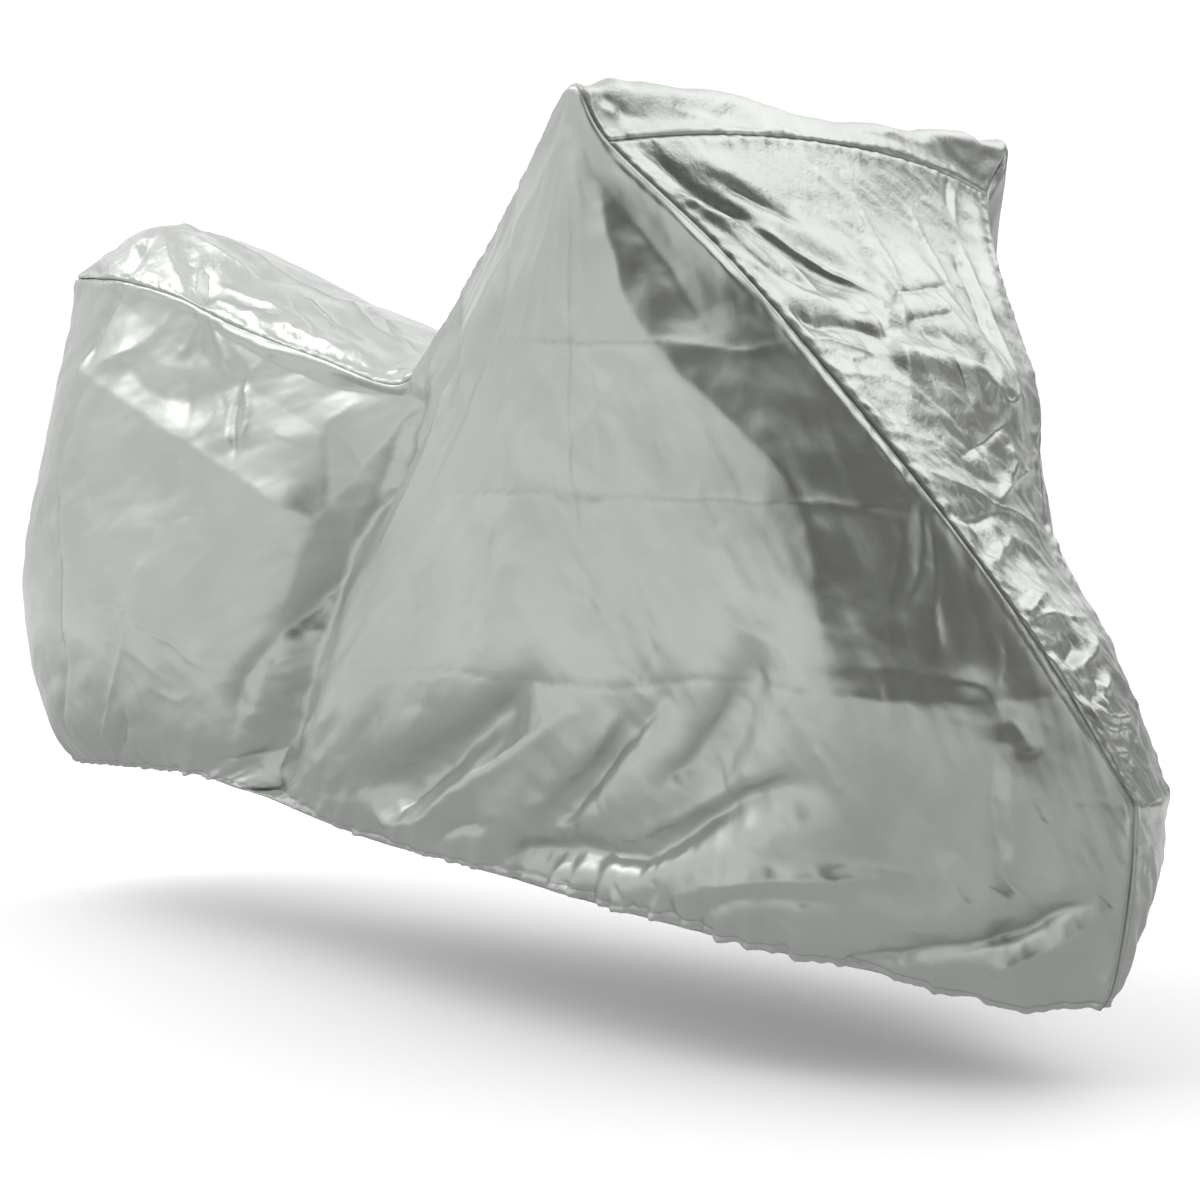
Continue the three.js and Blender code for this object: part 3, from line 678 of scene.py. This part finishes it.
def dressed(panel, places, shares, sewn, seed):
    held = np.ones(places.shape[:2])
    for name, share in shares.items():
        if name in sewn:
            held = held * ease(share / sewing["hold"])
    look = list(panel["seenAs"])
    still = np.zeros(places.shape[:2])
    main = liftOf(panel["mainFolds"], "mainFolds", places[..., look], still)
    places = places + outward(places) * (main * held)[..., None]
    away, run = fromSeams(places, sewn)
    wobble = lumps(places, 35, seed) * 3.5 + lumps(places, 12, seed + 1)
    creases = {kind: panel.get(kind, []) for kind in strengths}
    creases["presses"] = creases["presses"] + scatteredPresses(panel, seed)
    lift = sum(
        strengths[kind] * liftOf(rows, kind, places[..., look], wobble) for kind, rows in creases.items()
    )
    alongPressLines = np.abs(liftOf(creases["pressLines"], "pressLines", places[..., look], wobble))
    flat = np.stack([runAlong(places, 0), runAlong(places, 1)], axis=-1)
    lift += panel["sway"] * 2 * lumps(places, 120, seed + 2)
    heights, amounts = np.array(panel.get("crumpled", [(0, 1), (1200, 1)]), float).T
    crumpled = np.interp(places[..., 2], heights, amounts)
    for size, height in panel["facets"]:
        lift += height * crumpled * facets(flat, size, seed + 4)
    lift = lift * ease(away / 16) + besideSeams(away, run, seed + 20)
    hemAway, hemRun = fromHem(places, panel.get("hemAxis"))
    if "gathers" in panel:
        x, tight = np.array(panel["gathers"], float).T
        gathers = aboveHem(hemAway, hemRun, np.interp(places[..., 0], x, tight), seed + 30)
        lift = lift * ease(hemAway / 14) + gathers * ease(away / panel["nearSeam"])
    out = outward(places)
    places = places + out * lift[..., None]
    crinkled = np.full(away.shape, panel["crinkled"])
    marks = {"seamAway": away, "seamAlong": run, "hemAway": hemAway, "crinkled": crinkled, "alongPressLines": alongPressLines}
    return turnedUp(places, out, marks, panel["hemAxis"]) if "gathers" in panel else (places, marks)


# how far each place is from the hem, and how far along it
def fromHem(places, axis):
    if axis is None:
        return np.full(places.shape[:2], 999.0), None
    towards, along = runAlong(places, axis), runAlong(places, 1 - axis)
    away = np.take(towards, [-1], axis) - towards
    return away, np.broadcast_to(np.take(along, [-1], axis), away.shape)


# the cloth of the hem goes round the elastic and up again inside
def turnedUp(places, out, marks, axis):
    inside = -2 - np.arange(sewing["insideRows"])
    inner = np.take(places - out * sewing["hemThick"], inside, axis)
    marks = {name: np.concatenate([v, np.take(v, inside, axis)], axis) for name, v in marks.items()}
    return np.concatenate([places, inner], axis), marks


def cloth(panel, places, marks):
    columns, rows = places.shape[0] - 1, places.shape[1] - 1
    bm = bmesh.new()
    bmesh.ops.create_grid(bm, x_segments=columns, y_segments=rows, size=0.5)
    mesh = bpy.data.meshes.new(panel["piece"])
    bm.to_mesh(mesh)
    bm.free()
    spots = np.empty(len(mesh.vertices) * 3)
    mesh.vertices.foreach_get("co", spots)
    spots = spots.reshape(-1, 3)
    column = np.rint((spots[:, 0] + 0.5) * columns).astype(int)
    row = np.rint((spots[:, 1] + 0.5) * rows).astype(int)
    mesh.vertices.foreach_set("co", ((places[column, row] - heldAt) / 1000).ravel())
    for name, values in marks.items():
        mark = mesh.attributes.new(name, "FLOAT", "POINT")
        mark.data.foreach_set("value", values[column, row].astype(np.float32))
    corners = np.empty(len(mesh.loops), dtype=np.int32)
    mesh.loops.foreach_get("vertex_index", corners)
    lengthwise = runAlong(places, 0)[:, rows // 2] / 1000
    crosswise = runAlong(places, 1)[columns // 2] / 1000
    flat = np.column_stack([lengthwise[column], crosswise[row]])[corners]
    mesh.uv_layers.new(name="cloth").data.foreach_set("uv", flat.ravel())
    mesh.polygons.foreach_set("use_smooth", np.ones(len(mesh.polygons), dtype=bool))
    mesh.update()
    piece = placed(panel["piece"], mesh)
    mesh.materials.append(silverCloth)
    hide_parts(panel["node"])
    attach(piece, "root")
    print(panel["piece"], "made:", len(mesh.polygons), "faces")
    return piece


# a socket, or a number, that adds its Math nodes as it is reckoned with
class Wire:
    def __init__(self, maker, socket):
        self.maker, self.socket = maker, socket

    def math(self, operation, *values):
        return self.maker.node("ShaderNodeMath", {"operation": operation}, dict(enumerate(values)))

    def __add__(self, other):
        return self.math("ADD", self, other)

    def __sub__(self, other):
        return self.math("SUBTRACT", self, other)

    def __mul__(self, other):
        return self.math("MULTIPLY", self, other)

    def __truediv__(self, other):
        return self.math("DIVIDE", self, other)

    def __rsub__(self, other):
        return self.math("SUBTRACT", other, self)

    __radd__ = __add__
    __rmul__ = __mul__

    def square(self):
        return self * self

    def root(self):
        return self.math("SQRT", self)

    def sine(self):
        return self.math("SINE", self)

    def size(self):
        return self.math("ABSOLUTE", self)

    def part(self):
        return self.math("FRACT", self)

    def over(self, limit):
        return self.math("GREATER_THAN", self, limit)

    def eased(self, low, high):
        return self.maker.node("ShaderNodeMapRange", {"interpolation_type": "SMOOTHSTEP"},
                               {"Value": self, "From Min": low, "From Max": high})


class NodeMaker:
    def __init__(self, owner):
        owner.use_nodes = True
        self.tree = owner.node_tree
        self.tree.nodes.clear()

    def node(self, kind, settings=None, inputs=None, output=0):
        made = self.tree.nodes.new(kind)
        for name, value in (settings or {}).items():
            setattr(made, name, value)
        for name, value in (inputs or {}).items():
            if isinstance(value, Wire):
                self.tree.links.new(value.socket, made.inputs[name])
            else:
                made.inputs[name].default_value = value
        return Wire(self, made.outputs[output] if len(made.outputs) else None)

    def attribute(self, name):
        return self.node("ShaderNodeAttribute", {"attribute_name": name}, output="Fac")

    def split(self, vector):
        made = self.tree.nodes.new("ShaderNodeSeparateXYZ")
        self.tree.links.new(vector.socket, made.inputs[0])
        return [Wire(self, socket) for socket in made.outputs]

    def lumpy(self, vector, scale, detail=2.0, rough=0.5):
        return self.node("ShaderNodeTexNoise", {}, {"Vector": vector, "Scale": scale, "Detail": detail,
                                                    "Roughness": rough})

    def blend(self, factor, first, second):
        made = self.tree.nodes.new("ShaderNodeMix")
        made.data_type = "RGBA"
        self.tree.links.new(factor.socket, made.inputs[0])
        for value, socket in ((first, made.inputs[6]), (second, made.inputs[7])):
            if isinstance(value, Wire):
                self.tree.links.new(value.socket, socket)
            else:
                socket.default_value = value
        return Wire(self, made.outputs[2])


silver = {
    "bright": (0.57, 0.588, 0.558, 1),
    "dull": (0.495, 0.516, 0.492, 1),
    # the colour of the stitches and of the line along the hem, and of the painted shade along the seams
    "threadAndSeamShade": (0.20, 0.215, 0.205, 1),
    "alongPressLines": (0.38, 0.40, 0.38, 1),   # along the sharp press lines
    "metal": 0.86,
    "smoothest": 0.28,
    "roughest": 0.40,
    "threadPitch": 0.0011,   # metres between two threads of the weave
    "stitch": 4.2,           # millimetres from stitch to stitch
    "stitchAway": 4.0,       # millimetres from the seam
    # how high the fine relief stands, in metres
    "creaseHeight": 0.004,
    "smallHeight": 0.0004,
    "threadHeight": 0.000015,
    "stitchHeight": 0.0003,
}


def makeSilverCloth(s):
    material = bpy.data.materials.new("silver_cloth")
    maker = NodeMaker(material)
    flat = maker.node("ShaderNodeUVMap", {"uv_map": "cloth"})
    solid = maker.node("ShaderNodeTexCoord", output="Object")
    tint = maker.lumpy(solid, 5, 3)
    grain = maker.lumpy(flat, 700, 1)
    color = maker.blend((tint * 0.75 + grain * 0.25).eased(0.3, 0.7), s["dull"], s["bright"])
    u, v, _ = maker.split(flat)
    turns = 2 * math.pi / s["threadPitch"]
    weave = (u * turns).sine() * (v * turns).sine()
    seamAway, seamAlong = maker.attribute("seamAway"), maker.attribute("seamAlong")
    hemAway, alongPressLines = maker.attribute("hemAway"), maker.attribute("alongPressLines")
    # the colour is darker along the sharp press lines
    color = maker.blend(alongPressLines.eased(0.4, 2.4) * 0.6, color, s["alongPressLines"])
    inLine = 1 - (seamAway - s["stitchAway"]).size().eased(0.3, 0.9)
    inStitch = (seamAlong / s["stitch"]).part().over(0.28)
    stitches = inLine * inStitch
    hemLine = 1 - (hemAway - sewing["channel"]).size().eased(0.4, 1.0)
    # painted shade along the seams: within about 2.6 mm of a seam the colour goes towards the dark thread
    # colour, standing in for the shade in the groove between two panels
    paintedSeamShade = 1 - seamAway.eased(0.3, 2.6)
    color = maker.blend(stitches * 0.35 + hemLine * 0.45 + paintedSeamShade * 0.85, color, s["threadAndSeamShade"])
    creases = (maker.lumpy(solid, 38, 4, 0.6) - 0.5).size()
    small = maker.lumpy(solid, 150, 3)
    crinkles = creases * s["creaseHeight"] + small * s["smallHeight"]
    height = maker.attribute("crinkled") * crinkles
    height = height + weave * s["threadHeight"] + stitches * s["stitchHeight"]
    bump = maker.node("ShaderNodeBump", {}, {"Height": height, "Distance": 1.0, "Strength": 1.0})
    roughness = s["smoothest"] + maker.lumpy(solid, 30, 3) * (s["roughest"] - s["smoothest"])
    shader = maker.node("ShaderNodeBsdfPrincipled", {}, {
        "Base Color": color, "Metallic": s["metal"], "Roughness": roughness, "Normal": bump})
    maker.node("ShaderNodeOutputMaterial", {}, {"Surface": shader})
    return material


silverCloth = makeSilverCloth(silver)


def makeSide(panel, isLeft, seed):
    places = sectionPlaces(0, nose, panel["spacing"])
    if not isLeft:
        places = places[::-1]   # from the nose back, so that its faces point out
    shares = closerAtEnds(panel["rows"], 1.6, 1.5, 0.07)
    points = sidePoints(places, shares, isLeft)
    toTail, toNose = places / nose, 1 - places / nose
    ends = {"firstColumn": toTail if isLeft else toNose, "lastColumn": toNose if isLeft else toTail}
    reach = {"firstRow": shares[None, :], **{name: share[:, None] for name, share in ends.items()}}
    return cloth(panel, *dressed(panel, points, reach, ("firstRow", "firstColumn", "lastColumn"), seed))


def makeStrip(panel, first, last, sewn, seed):
    places = sectionPlaces(first, last, panel["spacing"])
    over = closerAtEnds(panel["across"], 1.0, 1.0, 0.05)
    points = stripPoints(places, 2 * over - 1)
    along = (places - first) / (last - first)
    if "underRows" in panel:
        shares = closerAtEnds(panel["underRows"], 0, 1.5, 0.12)[1:]
        points = np.concatenate([points, underNosePoints(shares, 2 * over - 1)])
        along = np.linspace(0, 1, len(points))
    reach = {"firstColumn": along[:, None], "lastColumn": 1 - along[:, None],
             "firstRow": over[None, :], "lastRow": 1 - over[None, :]}
    return cloth(panel, *dressed(panel, points, reach, sewn, seed))


rightCloth = makeSide(rightSide, False, 1)
leftCloth = makeSide(leftSide, True, 60)
alongBoth = ("firstRow", "lastRow")
topCloth = makeStrip(topStrip, tailSide, crossSeam, ("firstColumn", "lastColumn", *alongBoth), 120)
frontCloth = makeStrip(frontStrip, crossSeam, nose, ("firstColumn", *alongBoth), 180)


studio = {
    "floor": (0.95, 0.95, 0.95, 1),
    "floorGlow": 0.12,
    "horizon": 0.80,       # brightness of the room at eye level
    "patches": 3.5,        # how small its brighter and darker patches are, and how strong
    "patchy": 0.34,
    "overhead": 1.42,
    # sides of the room that are darker or brighter: azimuth and height of the middle in degrees, the
    # cosine where each one begins and where it is full, and how much it takes away or adds
    "sides": [
        ((50, 16), 0.50, 0.91, -0.93),   # towards the camera
        ((100, 2), 0.87, 0.96, -0.50),
        ((146, 14), 0.89, 0.965, -0.85),
        ((178, 6), 0.95, 0.99, -0.50),
        ((-120, 62), 0.75, 0.97, -0.36),
        ((165, 44), 0.75, 0.95, 0.30),
        ((-138, 0), 0.88, 0.97, 0.45),   # behind the cover
    ],
    # the ground as the cloth mirrors it: under the cover, where it is darker as a painted shadow of the
    # cover, around it and far away
    "under": 0.46,
    "around": 1.0,
    "farAway": 0.74,
    "coverMiddle": -0.45,      # its X, in metres from the mount
    "coverReach": (1.3, 0.5),  # half its length and its width, with a margin
    "toAround": (0.9, 2.8),    # where the ground goes from the first to the second, in those halves
    "toFarAway": (3.0, 9),
    "darkest": 0.82,           # how much of its light a part of it loses
    "darkGround": (65, 1.3, 2.3),   # its azimuth, and metres from the mount where it begins and is full
}


def makeRoom(r):
    world = bpy.data.worlds.new("room")
    bpy.context.scene.world = world
    maker = NodeMaker(world)
    way = maker.node("ShaderNodeTexCoord", output="Generated")
    up = maker.split(way)[2]
    light = r["horizon"] + up.eased(0.10, 0.74) * (r["overhead"] - r["horizon"])
    light = light * (1 + (maker.lumpy(way, r["patches"], 2) - 0.5) * r["patchy"])
    for (azimuth, elevation), begins, full, change in r["sides"]:
        facing = maker.node("ShaderNodeVectorMath", {"operation": "DOT_PRODUCT"},
                            {0: way, 1: direction(azimuth, elevation)}, "Value")
        light = light * (1 + facing.eased(begins, full) * change)
    background = maker.node("ShaderNodeBackground", {}, {"Color": (1, 1, 1, 1), "Strength": light})
    maker.node("ShaderNodeOutputWorld", {}, {"Surface": background})


softbox = {
    "azimuth": -65, "elevation": 50,
    "towards": (-0.35, 0, -0.5),   # the middle of the cover, metres from the mount
    "distance": 4.5, "size": 3.0, "power": 52,
}


def addSoftbox(c):
    light = bpy.data.lights.new("key", "AREA")
    light.size, light.energy = c["size"], c["power"]
    box = placed("key", light)
    away = direction(c["azimuth"], c["elevation"])
    box.location = Vector(c["towards"]) + away * c["distance"]
    box.rotation_euler = away.to_track_quat("Z", "Y").to_euler()
    box.visible_camera = False


def addGround(name, height):
    bm = bmesh.new()
    bmesh.ops.create_grid(bm, x_segments=1, y_segments=1, size=30)
    bmesh.ops.translate(bm, verts=bm.verts, vec=(0, 0, height - heldAt[2] / 1000))
    mesh = bpy.data.meshes.new(name)
    bm.to_mesh(mesh)
    bm.free()
    ground = placed(name, mesh)
    material = bpy.data.materials.new(name)
    mesh.materials.append(material)
    return ground, NodeMaker(material)


def addFloor():
    floor, maker = addGround("floor", 0)
    shader = maker.node("ShaderNodeBsdfPrincipled", {}, {
        "Base Color": studio["floor"], "Roughness": 0.9, "Emission Color": studio["floor"],
        "Emission Strength": studio["floorGlow"]})
    maker.node("ShaderNodeOutputMaterial", {}, {"Surface": shader})


# the floor is white to the eye, and the cloth mirrors a greyer one, as in the photograph
def addMirroredGround(r):
    ground, maker = addGround("mirrored_ground", 0.004)
    spot = maker.node("ShaderNodeTexCoord", output="Object")
    x, y, _ = maker.split(spot)
    length, width = r["coverReach"]
    fromCover = (((x - r["coverMiddle"]) / length).square() + (y / width).square()).root()
    # darker under the cover: a painted shadow of the cover, since this glowing ground gets no real shadow
    light = r["under"] + fromCover.eased(*r["toAround"]) * (r["around"] - r["under"])
    light = light + fromCover.eased(*r["toFarAway"]) * (r["farAway"] - r["around"])
    azimuth, begins, full = r["darkGround"]
    toDark = direction(azimuth, 0)
    away = (x.square() + y.square()).root()
    facing = (x * toDark.x + y * toDark.y) / away
    light = light * (1 - r["darkest"] * facing.eased(0.45, 0.8) * away.eased(begins, full))
    shader = maker.node("ShaderNodeEmission", {}, {"Strength": light})
    maker.node("ShaderNodeOutputMaterial", {}, {"Surface": shader})
    for seenBy in ("camera", "diffuse", "shadow", "transmission", "volume_scatter"):
        setattr(ground, "visible_" + seenBy, False)


makeRoom(studio)
addFloor()
addMirroredGround(studio)
addSoftbox(softbox)
bpy.context.scene.view_settings.view_transform = "Standard"
print("studio lit")
